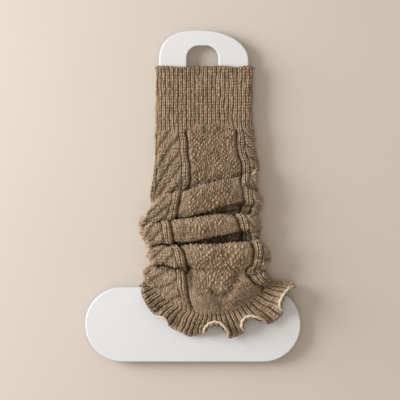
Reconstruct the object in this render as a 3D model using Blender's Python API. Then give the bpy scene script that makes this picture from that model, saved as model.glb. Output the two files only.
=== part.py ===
"""A knitted boot cuff pulled over a flat foot-shaped display board, lying face up.

X runs across the cuff, +Y towards the hanging hole, +Z up from the surface it lies on.
The origin is under the middle of the whole object. Sizes here are in millimetres.
"""

import math

import bmesh
import bpy
import numpy as np

MM = 0.001
SEAM_GAP = 0.3
EDGE_GAP = 0.4

# The board: a rounded column standing on a pill-shaped foot, cut from one sheet.
BOARD_UNDERSIDE = 6.0
BOARD_THICKNESS = 4.5
BOARD_EDGE_ROUND = 1.5
COLUMN_LEFT = -37.8
COLUMN_RIGHT = 62.2
COLUMN_TOP = 184.6
COLUMN_CROWN = 34.6
CROWN_X = 6.5
CROWN_POWERS = (2.5, 2.1)
CROWN_STEPS = 28
FOOT_LENGTH = 240.0
FOOT_TOP = -101.0
FOOT_BOTTOM = -184.6
FOOT_CORNER = 6.0
HOLE_LEFT = -6.7
HOLE_RIGHT = 28.2
HOLE_TOP = 167.0
HOLE_BOTTOM = 126.5
HOLE_CORNER = 13.5
CUTTER_REACH = 5.0

# The knitted wall, and how it wraps the board.
KNIT_WALL = 2.2
FRILL_WALL = 1.8
CORD_RADIUS = 1.0
CORD_SIDES = 6
FRONT_BASE = 13.5
SIDE_LEVEL = 8.2
SIDE_ROUND = 8.0
CORNER_SHARE = 0.12
FRONT_STEPS = 38
BACK_STEPS = 22
RIB_TOP = 144.3
RIB_BOTTOM = 83.2
RIB_RINGS = 3
BODY_SHARES = (0.0, 0.5, 0.92)
BODY_RISE = 2.5

# The outline seen from above, from the rib down to the hem.
OUTLINE_COLUMNS = ("y", "left", "right")
OUTLINE = np.array((
    (145.0, -42.6, 67.6),
    (112.0, -42.4, 67.0),
    (83.0, -42.4, 66.8),
    (62.0, -44.2, 68.8),
    (40.0, -45.6, 71.4),
    (23.0, -46.8, 75.0),
    (5.6, -48.5, 72.4),
    (-4.4, -50.2, 77.8),
    (-11.5, -52.4, 78.6),
    (-20.0, -55.4, 74.4),
    (-33.3, -61.2, 76.4),
    (-40.0, -60.0, 74.6),
    (-46.6, -56.4, 75.8),
    (-55.5, -52.6, 82.4),
    (-64.4, -50.6, 87.0),
    (-73.3, -49.4, 85.4),
    (-81.0, -54.2, 81.6),
    (-87.7, -56.8, 85.4),
    (-94.9, -50.4, 88.2),
))

# Places across the front where a fold's sizes are given: -1 the left side, 1 the right side.
STATIONS = np.array((-1.0, -0.67, -0.33, 0.0, 0.33, 0.67, 1.0))

# One row for each roll of the slouched leg, top to bottom. edge: y of its upper edge. foot: y
# where it rolls under. rise: height over the flat front. crease: 1 for a closed deep crease above
# the roll, 0 for none. tuck: how far the cloth runs back under the upper edge.
FOLDS = (
    {
        "edge": (-12.2, 0.6, 5.6, 11.9, 16.9, 22.2, 26.6),
        "foot": (-31.1, -28.1, -24.4, -19.8, -12.5, -8.3, -12.2),
        "rise": (8.0, 11.0, 13.0, 14.5, 15.0, 13.0, 9.0),
        "crease": (0.5, 0.85, 1.0, 1.0, 1.0, 1.0, 0.8),
        "tuck": 7.0,
    },
    {
        "edge": (-33.9, -28.9, -25.9, -23.3, -20.0, -21.5, -18.9),
        "foot": (-54.4, -51.6, -51.7, -48.6, -44.4, -38.9, -39.6),
        "rise": (9.0, 12.0, 13.5, 14.0, 13.0, 10.0, 8.0),
        "crease": (0.6, 0.9, 1.0, 1.0, 1.0, 1.0, 0.8),
        "tuck": 6.0,
    },
    {
        "edge": (-56.6, -55.5, -53.6, -51.1, -49.7, -48.8, -50.0),
        "foot": (-75.5, -76.0, -79.9, -84.4, -84.4, -82.1, -77.7),
        "rise": (8.0, 12.0, 15.0, 16.5, 16.0, 14.0, 10.0),
        "crease": (0.7, 0.95, 1.0, 1.0, 1.0, 1.0, 0.8),
        "tuck": 6.0,
    },
    {
        "edge": (-77.7, -78.8, -82.1, -86.6, -86.6, -83.3, -80.5),
        "foot": (-92.0, -108.0, -118.0, -121.0, -118.0, -108.0, -92.0),
        "rise": (8.0, 10.0, 11.5, 13.0, 13.0, 11.0, 9.0),
        "crease": (0.8, 1.0, 0.75, 0.15, 0.05, 0.2, 0.7),
        "tuck": 2.0,
    },
)

# The rings of one roll, with the columns across, rise, tuck and gap. across: 0 at its upper edge,
# 1 where it rolls under. rise: share of its height. tuck: share of the tuck. gap: share of the
# way on to the next roll's upper edge.
ROLL = (
    (0.00, 0.03, 1.00, 0.0),
    (0.00, 0.24, 0.45, 0.0),
    (0.00, 0.64, 0.00, 0.0),
    (0.18, 0.93, 0.00, 0.0),
    (0.52, 1.00, 0.00, 0.0),
    (0.94, 0.76, 0.00, 0.0),
    (0.98, 0.18, 0.00, 0.05),
)
LAST_ROLL = ROLL[:3] + (
    (0.22, 0.92, 0.0, 0.0),
    (0.50, 0.85, 0.0, 0.0),
    (0.80, 0.45, 0.0, 0.0),
)

HEM_ROLL_BROW = 3
CREASE_FADE = 0.8
RECESS_BELOW = 0.6
SIDE_RECESS = 2.6
BACK_GROOVE = 2.4
HEM_SIDE = -94.9
HEM_DROP_FRONT = 36.6
HEM_DROP_BACK = 16.0
HEM_ROUNDNESS = 2.3

# The frill fans out from this centre. angle: degrees from +X towards -Y.
FAN_CENTRE = (23.3, -84.4)
FRILL_WIDTHS = {
    "angle": (-20.0, 10.0, 20.0, 34.0, 50.0, 64.0, 76.0, 92.0,
              102.0, 113.0, 131.0, 146.0, 158.0, 165.0, 172.0, 200.0),
    "width": (20.0, 27.0, 31.5, 33.0, 28.0, 25.5, 26.5, 25.5,
              21.5, 25.5, 22.0, 20.0, 18.5, 13.5, 5.0, 5.0),
}
# At the left side the frill hangs towards the foot instead of standing straight out.
FAN_TILT = 0.55
TILT_START = 48.0
TILT_FULL = 74.0
TILT_FLAT = 0.55
FRILL_BACK_WIDTH = 20.0
FRILL_RINGS = 3
REST_CURL = 14.0
BACK_CURL = 4.0
SIDE_CURL = 30.0
# The frill is soft and lies low: it stands up to this share of a round curl's height.
CURL_RISE = 0.6

# One row for each curl of the frill's edge, in degrees: its angle round the fan's centre, its
# half width and how far it turns up.
CURLS = (
    (19.5, 11.5, 84.0),
    (53.5, 10.5, 114.0),
    (88.5, 12.0, 132.0),
    (118.0, 7.0, 38.0),
    (137.0, 7.0, 58.0),
    (156.0, 8.0, 44.0),
)


def clear_scene():
    for thing in list(bpy.data.objects):
        bpy.data.objects.remove(thing, do_unlink=True)


def material(name, colour, roughness):
    made = bpy.data.materials.new(name)
    made.use_nodes = True
    shader = made.node_tree.nodes["Principled BSDF"]
    shader.inputs["Base Color"].default_value = (*colour, 1.0)
    shader.inputs["Roughness"].default_value = roughness
    shader.inputs["Metallic"].default_value = 0.0
    return made


def knit_material():
    return material("taupe_wool", (0.21, 0.15, 0.10), 0.95)


def edge_material():
    return material("cream_wool", (0.60, 0.49, 0.36), 0.95)


def board_material():
    return material("white_board", (0.76, 0.75, 0.73), 0.45)


def add_object(name, mesh, finish):
    made = bpy.data.objects.new(name, mesh)
    made.data.materials.append(finish)
    bpy.context.scene.collection.objects.link(made)
    return made


def smooth_step(value, start, end):
    share = np.clip((value - start) / (end - start), 0.0, 1.0)
    return share * share * (3.0 - 2.0 * share)


def smooth_table(at, places, values):
    """A smooth curve through a short table: a cubic between rows, with no overshoot."""
    places = np.asarray(places, float)
    values = np.asarray(values, float)
    slopes = np.gradient(values, places)
    steps = np.diff(values) / np.diff(places)
    slopes[1:-1] = np.where(steps[:-1] * steps[1:] > 0.0, slopes[1:-1], 0.0)
    row = np.clip(np.searchsorted(places, at) - 1, 0, len(places) - 2)
    gap = places[row + 1] - places[row]
    s = np.clip((at - places[row]) / gap, 0.0, 1.0)
    rise = s * s * (3.0 - 2.0 * s)
    lead = s * (1.0 - s) ** 2 * gap
    tail = s * s * (1.0 - s) * gap
    between = values[row] + (values[row + 1] - values[row]) * rise
    return between + slopes[row] * lead - slopes[row + 1] * tail


def arc(centre, radius, start, end, steps):
    """Points on an ellipse's arc, angles in degrees, both ends included."""
    angles = np.radians(np.linspace(start, end, steps + 1))
    return [(centre[0] + radius[0] * math.cos(a), centre[1] + radius[1] * math.sin(a)) for a in angles]


# ---- the board ----


def crown_outline():
    """The column's top, from its right side over the crown to its left side."""
    points = []
    for step in range(CROWN_STEPS + 1):
        turn = math.pi * step / CROWN_STEPS
        at_right = math.cos(turn) > 0.0
        side = COLUMN_RIGHT if at_right else COLUMN_LEFT
        power = CROWN_POWERS[1] if at_right else CROWN_POWERS[0]
        out = abs(math.cos(turn)) ** (2.0 / power)
        up = abs(math.sin(turn)) ** (2.0 / power)
        points.append((CROWN_X + (side - CROWN_X) * out, COLUMN_TOP - COLUMN_CROWN * (1.0 - up)))
    return points


def board_outline():
    half_foot = (FOOT_TOP - FOOT_BOTTOM) / 2.0
    foot_middle = (FOOT_TOP + FOOT_BOTTOM) / 2.0
    end = FOOT_LENGTH / 2.0 - half_foot
    inner = FOOT_TOP + FOOT_CORNER
    points = arc((end, foot_middle), (half_foot, half_foot), -90, 90, 20)
    points += arc((COLUMN_RIGHT + FOOT_CORNER, inner), (FOOT_CORNER, FOOT_CORNER), 270, 180, 4)
    points += crown_outline()
    points += arc((COLUMN_LEFT - FOOT_CORNER, inner), (FOOT_CORNER, FOOT_CORNER), 0, -90, 4)
    points += arc((-end, foot_middle), (half_foot, half_foot), 90, 270, 20)
    return points


def hole_outline():
    corners = (
        (HOLE_RIGHT - HOLE_CORNER, HOLE_TOP - HOLE_CORNER, 0),
        (HOLE_LEFT + HOLE_CORNER, HOLE_TOP - HOLE_CORNER, 90),
        (HOLE_LEFT + HOLE_CORNER, HOLE_BOTTOM + HOLE_CORNER, 180),
        (HOLE_RIGHT - HOLE_CORNER, HOLE_BOTTOM + HOLE_CORNER, 270),
    )
    points = []
    for x, y, start in corners:
        points += arc((x, y), (HOLE_CORNER, HOLE_CORNER), start, start + 90, 6)
    return points


def slab(name, outline, bottom, top):
    """A flat outline, counter-clockwise, pulled up from bottom to top."""
    shape = bmesh.new()
    corners = [shape.verts.new((x * MM, y * MM, bottom * MM)) for x, y in outline]
    face = shape.faces.new(corners)
    pulled = bmesh.ops.extrude_face_region(shape, geom=[face])
    raised = [part for part in pulled["geom"] if isinstance(part, bmesh.types.BMVert)]
    bmesh.ops.translate(shape, verts=raised, vec=(0.0, 0.0, (top - bottom) * MM))
    bmesh.ops.recalc_face_normals(shape, faces=shape.faces)
    mesh = bpy.data.meshes.new(name)
    shape.to_mesh(mesh)
    shape.free()
    return mesh


def build_board():
    top = BOARD_UNDERSIDE + BOARD_THICKNESS
    finish = board_material()
    plate = slab("display_board", board_outline(), BOARD_UNDERSIDE, top)
    board = add_object("display_board", plate, finish)
    cut = slab("hole_cutter", hole_outline(), BOARD_UNDERSIDE - CUTTER_REACH, top + CUTTER_REACH)
    cutter = add_object("hole_cutter", cut, finish)
    cutter.hide_render = True
    cutter.display_type = "WIRE"
    hole = board.modifiers.new("hanging_hole", "BOOLEAN")
    hole.operation = "DIFFERENCE"
    hole.object = cutter
    edge = board.modifiers.new("rounded_edge", "BEVEL")
    edge.width = BOARD_EDGE_ROUND * MM
    edge.segments = 3
    edge.limit_method = "ANGLE"
    edge.angle_limit = math.radians(60)


# ---- the knitted tube ----


def loop_shares():
    """Where each step of a ring lies: 0 to 1 across the front, left to right, and 1 to 2 back."""
    front = np.arange(FRONT_STEPS) / FRONT_STEPS
    back = 1.0 + np.arange(BACK_STEPS) / BACK_STEPS
    return np.concatenate([front, back])


def from_side(shares):
    """0 at either side of the tube to 1 where its flat front or back begins."""
    f = np.where(shares > 1.0, 2.0 - shares, shares)
    return np.clip(np.minimum(f, 1.0 - f) / CORNER_SHARE, 0.0, 1.0)


def ring_across(shares, left, right):
    """x round a ring, its place u from -1 to 1, and how far it has turned off the side, 0 to 1."""
    f = np.where(shares > 1.0, 2.0 - shares, shares)
    turn = from_side(shares) * math.pi / 2.0
    inset = SIDE_ROUND * (1.0 - np.cos(turn))
    span = (f - CORNER_SHARE) / (1.0 - 2.0 * CORNER_SHARE)
    x = left + SIDE_ROUND + (right - left - 2.0 * SIDE_ROUND) * span
    x = np.where(f < CORNER_SHARE, left + inset, x)
    x = np.where(f > 1.0 - CORNER_SHARE, right - inset, x)
    u = 2.0 * (x - left) / (right - left) - 1.0
    return x, u, np.sin(turn)


def outline_x(y, side):
    rows = OUTLINE[::-1]
    return float(smooth_table(np.array(y), rows[:, 0], rows[:, OUTLINE_COLUMNS.index(side)]))


def ring(shares, sides, front, back, sunk=0.0):
    """A closed ring. sides: its y at the left and right. front, back: y and height from u."""
    left = outline_x(sides[0], "left") + SIDE_RECESS * sunk
    right = outline_x(sides[1], "right") - SIDE_RECESS * sunk
    x, u, up = ring_across(shares, left, right)
    front_y, front_z = front(u)
    back_y, back_z = back(u)
    behind = shares > 1.0
    y = np.where(behind, back_y, front_y)
    z = SIDE_LEVEL + (np.where(behind, back_z, front_z) - SIDE_LEVEL) * up
    return np.stack([x, y, z], axis=1)


def across(values, u):
    return smooth_table(u, STATIONS, values)


def level_ring(shares, y):
    flat = np.ones(len(shares))
    return ring(
        shares,
        (y, y),
        lambda u: (y * flat, FRONT_BASE * flat),
        lambda u: (y * flat, 0.0 * flat),
    )


def body_ring(shares, share):
    """A ring of the plain upper leg, which slants with the first roll below it."""
    edge = np.array(FOLDS[0]["edge"])
    line = RIB_BOTTOM - SEAM_GAP / 2.0 + (edge - RIB_BOTTOM) * share
    rise = BODY_RISE * math.sin(math.pi * share) ** 2

    def front(u):
        return across(line, u), FRONT_BASE + rise * (1.0 - u * u)

    def back(u):
        return line[0] + (line[-1] - line[0]) * (u + 1.0) / 2.0, np.zeros(len(u))

    return ring(shares, (line[0], line[-1]), front, back)


def hem_line(u, drop):
    return HEM_SIDE - drop * (1.0 - np.abs(u) ** HEM_ROUNDNESS)


def roll_ring(shares, number, step):
    """One ring of a roll. Where its crease is faint, the rings spread out evenly instead."""
    fold = FOLDS[number]
    last = number == len(FOLDS) - 1
    roll = LAST_ROLL if last else ROLL
    place, rise, tuck, gap = roll[step]
    share = step / len(roll)
    lower = fold if last else FOLDS[number + 1]

    def next_edge(u):
        return hem_line(u, HEM_DROP_FRONT) if last else across(lower["edge"], u)

    # Past its brow the last roll comes down to the hem even where it has no crease.
    falling = last and step >= HEM_ROLL_BROW
    low = rise if falling else 1.0

    def front(u):
        edge = across(fold["edge"], u)
        foot = across(fold["foot"], u)
        even = edge + (next_edge(u) - edge) * share
        rolled = edge + (foot - edge) * place - fold["tuck"] * tuck + (next_edge(u) - foot) * gap
        crease = across(fold["crease"], u) * (1.0 - share) + across(lower["crease"], u) * share
        crease = crease * (1.0 - smooth_step(np.abs(u), CREASE_FADE, 1.0))
        height = across(fold["rise"], u) * (1.0 - share) + across(lower["rise"], u) * share
        return even + (rolled - even) * crease, FRONT_BASE + height * (low + (rise - low) * crease)

    ends = next_edge(np.array((-1.0, 1.0)))
    sides = [here + (end - here) * share for here, end in zip((fold["edge"][0], fold["edge"][-1]), ends)]
    sunk = 0.0 if falling else max(0.0, 1.0 - rise / RECESS_BELOW)

    def back(u):
        return sides[0] + (sides[1] - sides[0]) * (u + 1.0) / 2.0, np.full(len(u), BACK_GROOVE * sunk)

    return ring(shares, sides, front, back, sunk)


def hem_ring(shares):
    flat = np.ones(len(shares))
    return ring(
        shares,
        (HEM_SIDE, HEM_SIDE),
        lambda u: (hem_line(u, HEM_DROP_FRONT), FRONT_BASE * flat),
        lambda u: (hem_line(u, HEM_DROP_BACK), 0.0 * flat),
    )


def frill_shape(shares, hem):
    """For each step round the hem: the way out in plan, the frill's width and how far it turns up."""
    way = hem[:, :2] - np.array(FAN_CENTRE)
    way = way / np.linalg.norm(way, axis=1, keepdims=True)
    angle = np.degrees(np.arctan2(-way[:, 1], way[:, 0]))
    angle = np.where(angle < -90.0, angle + 360.0, angle)
    flat = from_side(shares)
    tilt = smooth_step(FAN_CENTRE[0] - hem[:, 0], TILT_START, TILT_FULL) * smooth_step(flat, TILT_FLAT, 1.0)
    way[:, 1] -= FAN_TILT * tilt
    way = way / np.linalg.norm(way, axis=1, keepdims=True)
    width = smooth_table(angle, FRILL_WIDTHS["angle"], FRILL_WIDTHS["width"])
    turn = REST_CURL + (SIDE_CURL - REST_CURL) * (1.0 - flat) ** 2
    for middle, half_width, most in CURLS:
        near = np.sqrt(np.clip(1.0 - ((angle - middle) / half_width) ** 2, 0.0, 1.0))
        turn = np.maximum(turn, REST_CURL + (most - REST_CURL) * near)
    behind = shares > 1.0
    width = np.where(behind, width + (FRILL_BACK_WIDTH - width) * flat, width)
    turn = np.where(behind, BACK_CURL + (SIDE_CURL - BACK_CURL) * (1.0 - flat) ** 2, turn)
    return way, width, np.radians(turn)


def frill_ring(hem, shape, reach):
    """reach is 0 at the hem and 1 at the edge. Each step round it is a strip that curls up."""
    way, width, turn = shape
    out = width * np.sin(turn * reach) / turn
    up = CURL_RISE * width * (1.0 - np.cos(turn * reach)) / turn
    return hem + np.column_stack([way * out[:, None], up])


def surface_normals(rings):
    """Outward normals over a grid of rings, closed round each ring."""
    along = np.gradient(rings, axis=0)
    around = np.roll(rings, -1, axis=1) - np.roll(rings, 1, axis=1)
    normals = np.cross(along, around)
    return normals / np.linalg.norm(normals, axis=2, keepdims=True)


def wall_mesh(name, outer, normals, wall):
    """A closed wall under a grid of rings, with its two rims."""
    rows, steps = outer.shape[:2]
    inner = outer - normals * wall
    shape = bmesh.new()
    outside = [[shape.verts.new(point * MM) for point in row] for row in outer]
    inside = [[shape.verts.new(point * MM) for point in row] for row in inner]
    for i in range(steps):
        j = (i + 1) % steps
        for r in range(rows - 1):
            shape.faces.new((outside[r][i], outside[r + 1][i], outside[r + 1][j], outside[r][j]))
            shape.faces.new((inside[r][j], inside[r + 1][j], inside[r + 1][i], inside[r][i]))
        shape.faces.new((outside[0][i], outside[0][j], inside[0][j], inside[0][i]))
        shape.faces.new((inside[-1][i], inside[-1][j], outside[-1][j], outside[-1][i]))
    bmesh.ops.recalc_face_normals(shape, faces=shape.faces)
    mesh = bpy.data.meshes.new(name)
    shape.to_mesh(mesh)
    shape.free()
    mesh.shade_smooth()
    return mesh


def edge_cord(ring, normals):
    """The cast-off edge: a closed cord just outside the middle of the frill's rim."""
    rim = ring - normals * FRILL_WALL / 2.0
    around = np.roll(rim, -1, axis=0) - np.roll(rim, 1, axis=0)
    outward = np.cross(around, normals)
    outward /= np.linalg.norm(outward, axis=1, keepdims=True)
    path = rim + outward * (EDGE_GAP + CORD_RADIUS)
    shape = bmesh.new()
    loops = []
    for corner in range(CORD_SIDES):
        angle = 2.0 * math.pi * (corner + 0.5) / CORD_SIDES
        places = path + (outward * math.cos(angle) + normals * math.sin(angle)) * CORD_RADIUS
        loops.append([shape.verts.new(place * MM) for place in places])
    for loop, beside in zip(loops, loops[1:] + loops[:1]):
        for i in range(len(path)):
            j = (i + 1) % len(path)
            shape.faces.new((loop[i], loop[j], beside[j], beside[i]))
    bmesh.ops.recalc_face_normals(shape, faces=shape.faces)
    mesh = bpy.data.meshes.new("frill_edge")
    shape.to_mesh(mesh)
    shape.free()
    mesh.shade_smooth()
    return mesh


def build_cuff():
    shares = loop_shares()
    rib_rows = np.linspace(RIB_TOP, RIB_BOTTOM + SEAM_GAP / 2.0, RIB_RINGS)
    rib = [level_ring(shares, y) for y in rib_rows]
    leg = [body_ring(shares, share) for share in BODY_SHARES]
    for number in range(len(FOLDS)):
        roll = LAST_ROLL if number == len(FOLDS) - 1 else ROLL
        leg += [roll_ring(shares, number, step) for step in range(len(roll))]
    hem = hem_ring(shares)
    shape = frill_shape(shares, hem)
    leg.append(hem)
    start = SEAM_GAP / shape[1].max()
    frill = [frill_ring(hem, shape, reach) for reach in np.linspace(start, 1.0, FRILL_RINGS + 1)]
    rings = np.array(rib + leg + frill)
    normals = surface_normals(rings)
    wool = knit_material()
    pieces = (
        ("rib_band", len(rib), KNIT_WALL),
        ("leg_tube", len(leg), KNIT_WALL),
        ("frill", len(frill), FRILL_WALL),
    )
    first = 0
    for name, count, wall in pieces:
        rows = slice(first, first + count)
        add_object(name, wall_mesh(name, rings[rows], normals[rows], wall), wool)
        first += count
    add_object("frill_edge", edge_cord(rings[-1], normals[-1]), edge_material())


def main():
    clear_scene()
    build_board()
    build_cuff()


main()
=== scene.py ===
import bpy
import math
import numpy as np
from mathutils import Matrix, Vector


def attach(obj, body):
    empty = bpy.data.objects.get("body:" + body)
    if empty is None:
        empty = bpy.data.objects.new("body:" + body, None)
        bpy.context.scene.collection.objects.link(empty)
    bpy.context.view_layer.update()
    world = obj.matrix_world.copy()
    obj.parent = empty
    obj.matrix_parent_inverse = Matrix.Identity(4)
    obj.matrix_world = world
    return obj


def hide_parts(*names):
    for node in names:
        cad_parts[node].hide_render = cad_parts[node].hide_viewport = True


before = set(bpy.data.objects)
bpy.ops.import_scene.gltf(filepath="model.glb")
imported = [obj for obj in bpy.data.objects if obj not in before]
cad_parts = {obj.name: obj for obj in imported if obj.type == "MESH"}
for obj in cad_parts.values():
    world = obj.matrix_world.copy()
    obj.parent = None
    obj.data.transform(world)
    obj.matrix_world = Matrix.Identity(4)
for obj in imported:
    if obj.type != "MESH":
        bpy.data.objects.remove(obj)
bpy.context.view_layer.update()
bpy.ops.object.select_all(action="DESELECT")
mm = 0.001
print("frame loaded,", len(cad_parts), "nodes")

# Lengths are in millimetres: x across the cuff, y up the leg, z out of its front. u runs from -1 at the
# left side to 1 at the right. Shares run round the tube, 0 to 1 across the front and 1 to 2 along the back.

shapeSet = {
    "frontBase": 13.5,      # outer face of the front layer where it lies flat on the board
    "sideLevel": 8.2,       # middle of the board, where the cloth turns round its edge
    "sideRound": 8.0,       # how far in from each side the cloth is still turning
    "cornerShare": 0.12,    # and the share of each layer that does
    "ribTop": 144.3,
    "ribBottom": 83.2,
    "bodyShares": (0.0, 0.5, 0.92),  # rings between the band and the first roll
    "bodyRise": 2.5,
    "sideRecess": 2.6,      # the sides draw in by this where a roll folds under
    "backGroove": 2.4,      # and the back lifts by this there
    "recessBelow": 0.6,     # on rings under this share of the roll's rise
    "foldEnds": 0.8,        # the folds fade out from this u to the side
    "foldRings": 3,         # the last roll folds over these rings, then falls to the hem
    "hemSide": -94.9,
    "hemDropFront": 36.6,   # how far the hem bows down in the middle
    "hemDropBack": 16.0,
    "hemRoundness": 2.3,
    "wall": 2.1,
    "pressed": 0.25,        # the surface flattens all relief below this height
    "pressedShare": 0.06,   # to this share of it
    "lowest": 0.02,
}
outlineRows = np.array((  # y, left, right, top to bottom
    (145.0, -42.6, 67.6),
    (112.0, -42.4, 67.0),
    (83.0, -42.4, 66.8),
    (62.0, -43.4, 68.8),
    (40.0, -43.2, 71.4),
    (23.0, -44.8, 75.0),
    (5.6, -46.2, 72.4),
    (-4.4, -48.6, 77.8),
    (-11.5, -49.8, 78.6),
    (-20.0, -53.0, 74.4),
    (-33.3, -62.6, 76.4),
    (-40.0, -60.0, 74.6),
    (-46.6, -56.0, 75.8),
    (-55.5, -53.6, 82.4),
    (-64.4, -51.4, 87.0),
    (-73.3, -49.4, 85.4),
    (-81.0, -56.0, 81.6),
    (-87.7, -56.8, 85.4),
    (-94.9, -50.4, 88.2),
))
stations = np.array((-1.0, -0.67, -0.33, 0.0, 0.33, 0.67, 1.0))  # u of the seven values in each row below
rolls = (  # edge: y of the upper edge; foot: y where it rolls under
    {
        "edge": (-12.2, 0.6, 5.6, 11.9, 16.9, 22.2, 26.6),
        "foot": (-31.1, -28.1, -24.4, -19.8, -12.5, -8.3, -12.2),
        "rise": (8.0, 11.0, 13.0, 14.5, 15.0, 13.0, 9.0),
        "crease": (0.5, 0.85, 1.0, 1.0, 1.0, 1.0, 0.8),
        "tuck": 7.0,
    },
    {
        "edge": (-33.9, -28.9, -25.9, -23.3, -20.0, -21.5, -18.9),
        "foot": (-54.4, -51.6, -51.7, -48.6, -44.4, -38.9, -39.6),
        "rise": (9.0, 12.0, 13.5, 14.0, 13.0, 10.0, 8.0),
        "crease": (0.6, 0.9, 1.0, 1.0, 1.0, 1.0, 0.8),
        "tuck": 6.0,
    },
    {
        "edge": (-56.6, -55.5, -53.6, -51.1, -49.7, -48.8, -50.0),
        "foot": (-75.5, -76.0, -79.9, -84.4, -84.4, -82.1, -77.7),
        "rise": (8.0, 12.0, 15.0, 16.5, 16.0, 14.0, 10.0),
        "crease": (0.7, 0.95, 1.0, 1.0, 1.0, 1.0, 0.8),
        "tuck": 6.0,
    },
    {
        "edge": (-77.7, -78.8, -82.1, -86.6, -86.6, -83.3, -80.5),
        "foot": (-92.0, -108.0, -118.0, -121.0, -118.0, -108.0, -92.0),
        "rise": (8.0, 10.0, 11.5, 13.0, 13.0, 11.0, 9.0),
        "crease": (0.8, 1.0, 0.75, 0.15, 0.05, 0.2, 0.7),
        "tuck": 2.0,
    },
)
rollSteps = (  # the rings of a roll: how far from edge to foot, share of its rise, of its tuck, of the gap
    (0.00, 0.03, 1.00, 0.0),
    (0.00, 0.24, 0.45, 0.0),
    (0.00, 0.64, 0.00, 0.0),
    (0.18, 0.93, 0.00, 0.0),
    (0.52, 1.00, 0.00, 0.0),
    (0.94, 0.76, 0.00, 0.0),
    (0.98, 0.18, 0.00, 0.05),
)
lastRollSteps = rollSteps[:shapeSet["foldRings"]] + (
    (0.22, 0.92, 0.0, 0.0),
    (0.50, 0.78, 0.0, 0.0),
    (0.80, 0.40, 0.0, 0.0),
)
knitSet = {
    "stitchesRound": 84,
    "samples": 6,           # columns of points for each stitch
    "rowPitch": 2.7,
    "rowSamples": 4.0,      # rows of points for each row of stitches
    "frontPanel": 24.15,    # middle of the front panel, in stitches from the left side
    "halfPanel": 11.75,
    "lineStitches": 3.4,    # width of the raised line beside each panel
    "lineWales": 2.0,       # and the columns of large stitches in it
    "lineShare": 0.4385,    # share of a layer from its middle to u = 1
    "bigStitch": 0.7,       # the cables' stitches are larger than the moss
    "bigRow": 0.82,
    "wobble": 0.28,
    "mossWobble": 0.75,
    "sharePitch": 0.0188,   # one stitch as a share of the front
    "cableRows": 5.5,
    "cableSlope": 0.85,
    "innerRows": 5,         # the plain inner face keeps one row of points in this many
    "deepest": 2.0,         # grooves go no further into the cloth than this
    "innerDeepest": 0.3,    # and press its inner face in by this at most, so it clears the board
    "sideInset": 1.3,       # the stitches at the sides stand out to the outline, not past it
    "panelArch": 2.2,       # rows by which the rib reaches further down beside a panel
}


def smoothStep(value, start, end):
    share = np.clip((value - start) / (end - start), 0.0, 1.0)
    return share * share * (3.0 - 2.0 * share)


def bendBetween(start, end, startSlope, endSlope, gap, along):
    # a cubic curve from start to end, along going from 0 to 1
    between = start + (end - start) * (along * along * (3.0 - 2.0 * along))
    leaving = startSlope * along * (1.0 - along) ** 2 * gap
    arriving = endSlope * along * along * (1.0 - along) * gap
    return between + leaving - arriving


def smoothTable(at, places, values):
    # a smooth curve through a table's rows, level at its peaks
    places = np.asarray(places, float)
    values = np.asarray(values, float)
    slopes = np.gradient(values, places)
    steps = np.diff(values) / np.diff(places)
    slopes[1:-1] = np.where(steps[:-1] * steps[1:] > 0.0, slopes[1:-1], 0.0)
    row = np.clip(np.searchsorted(places, at) - 1, 0, len(places) - 2)
    gap = places[row + 1] - places[row]
    along = np.clip((at - places[row]) / gap, 0.0, 1.0)
    return bendBetween(values[row], values[row + 1], slopes[row], slopes[row + 1], gap, along)


def sharesFor(stitches, leftLine, rightLine):
    # where each stitch lies round the tube, given u of the two raised lines
    count = knitSet["stitchesRound"]
    middle = knitSet["frontPanel"]
    reach = knitSet["halfPanel"]
    lines = knitSet["lineStitches"]
    pitch = knitSet["sharePitch"]
    left = 0.5 + knitSet["lineShare"] * leftLine
    right = 0.5 + knitSet["lineShare"] * rightLine
    leftSide = middle - reach - left / pitch
    rightSide = middle + reach + (1.0 - right) / pitch
    knots = (
        leftSide, middle - reach - lines, middle - reach,
        middle + reach, middle + reach + lines, rightSide, leftSide + count,
    )
    places = (0.0, left - lines * pitch, left, right, right + lines * pitch, 1.0, 2.0)
    wrapped = leftSide + (stitches - leftSide) % count
    return np.interp(wrapped, knots, places) % 2.0


def acrossShare(shares):
    # 0 to 1 from the left side to the right, on either layer
    return np.where(shares > 1.0, 2.0 - shares, shares)


def fromSide(shares):
    # 0 at the sides to 1 where the cloth has turned flat
    spot = acrossShare(shares)
    return np.clip(np.minimum(spot, 1.0 - spot) / shapeSet["cornerShare"], 0.0, 1.0)


def ringAcross(shares, left, right):
    corner = shapeSet["cornerShare"]
    spot = acrossShare(shares)
    turn = fromSide(shares) * math.pi / 2.0
    inset = shapeSet["sideRound"] * (1.0 - np.cos(turn))
    span = (spot - corner) / (1.0 - 2.0 * corner)
    x = left + shapeSet["sideRound"] + (right - left - 2.0 * shapeSet["sideRound"]) * span
    x = np.where(spot < corner, left + inset, x)
    x = np.where(spot > 1.0 - corner, right - inset, x)
    return x, 2.0 * (x - left) / (right - left) - 1.0, np.sin(turn)


def outlineX(y, column):
    rows = outlineRows[::-1]
    return float(smoothTable(np.array(y), rows[:, 0], rows[:, column]))


def clothRing(shares, sides, front, back, sunk=0.0):
    # one ring of cloth round the board; sides are its y at the left and right
    left = outlineX(sides[0], 1) + shapeSet["sideRecess"] * sunk
    right = outlineX(sides[1], 2) - shapeSet["sideRecess"] * sunk
    x, u, up = ringAcross(shares, left, right)
    frontY, frontZ = front(u)
    backY, backZ = back(u)
    behind = shares > 1.0
    level = shapeSet["sideLevel"]
    y = np.where(behind, backY, frontY)
    z = level + (np.where(behind, backZ, frontZ) - level) * up
    return np.stack([x, y, z], axis=1)


def across(values, u):
    return smoothTable(u, stations, values)


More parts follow.
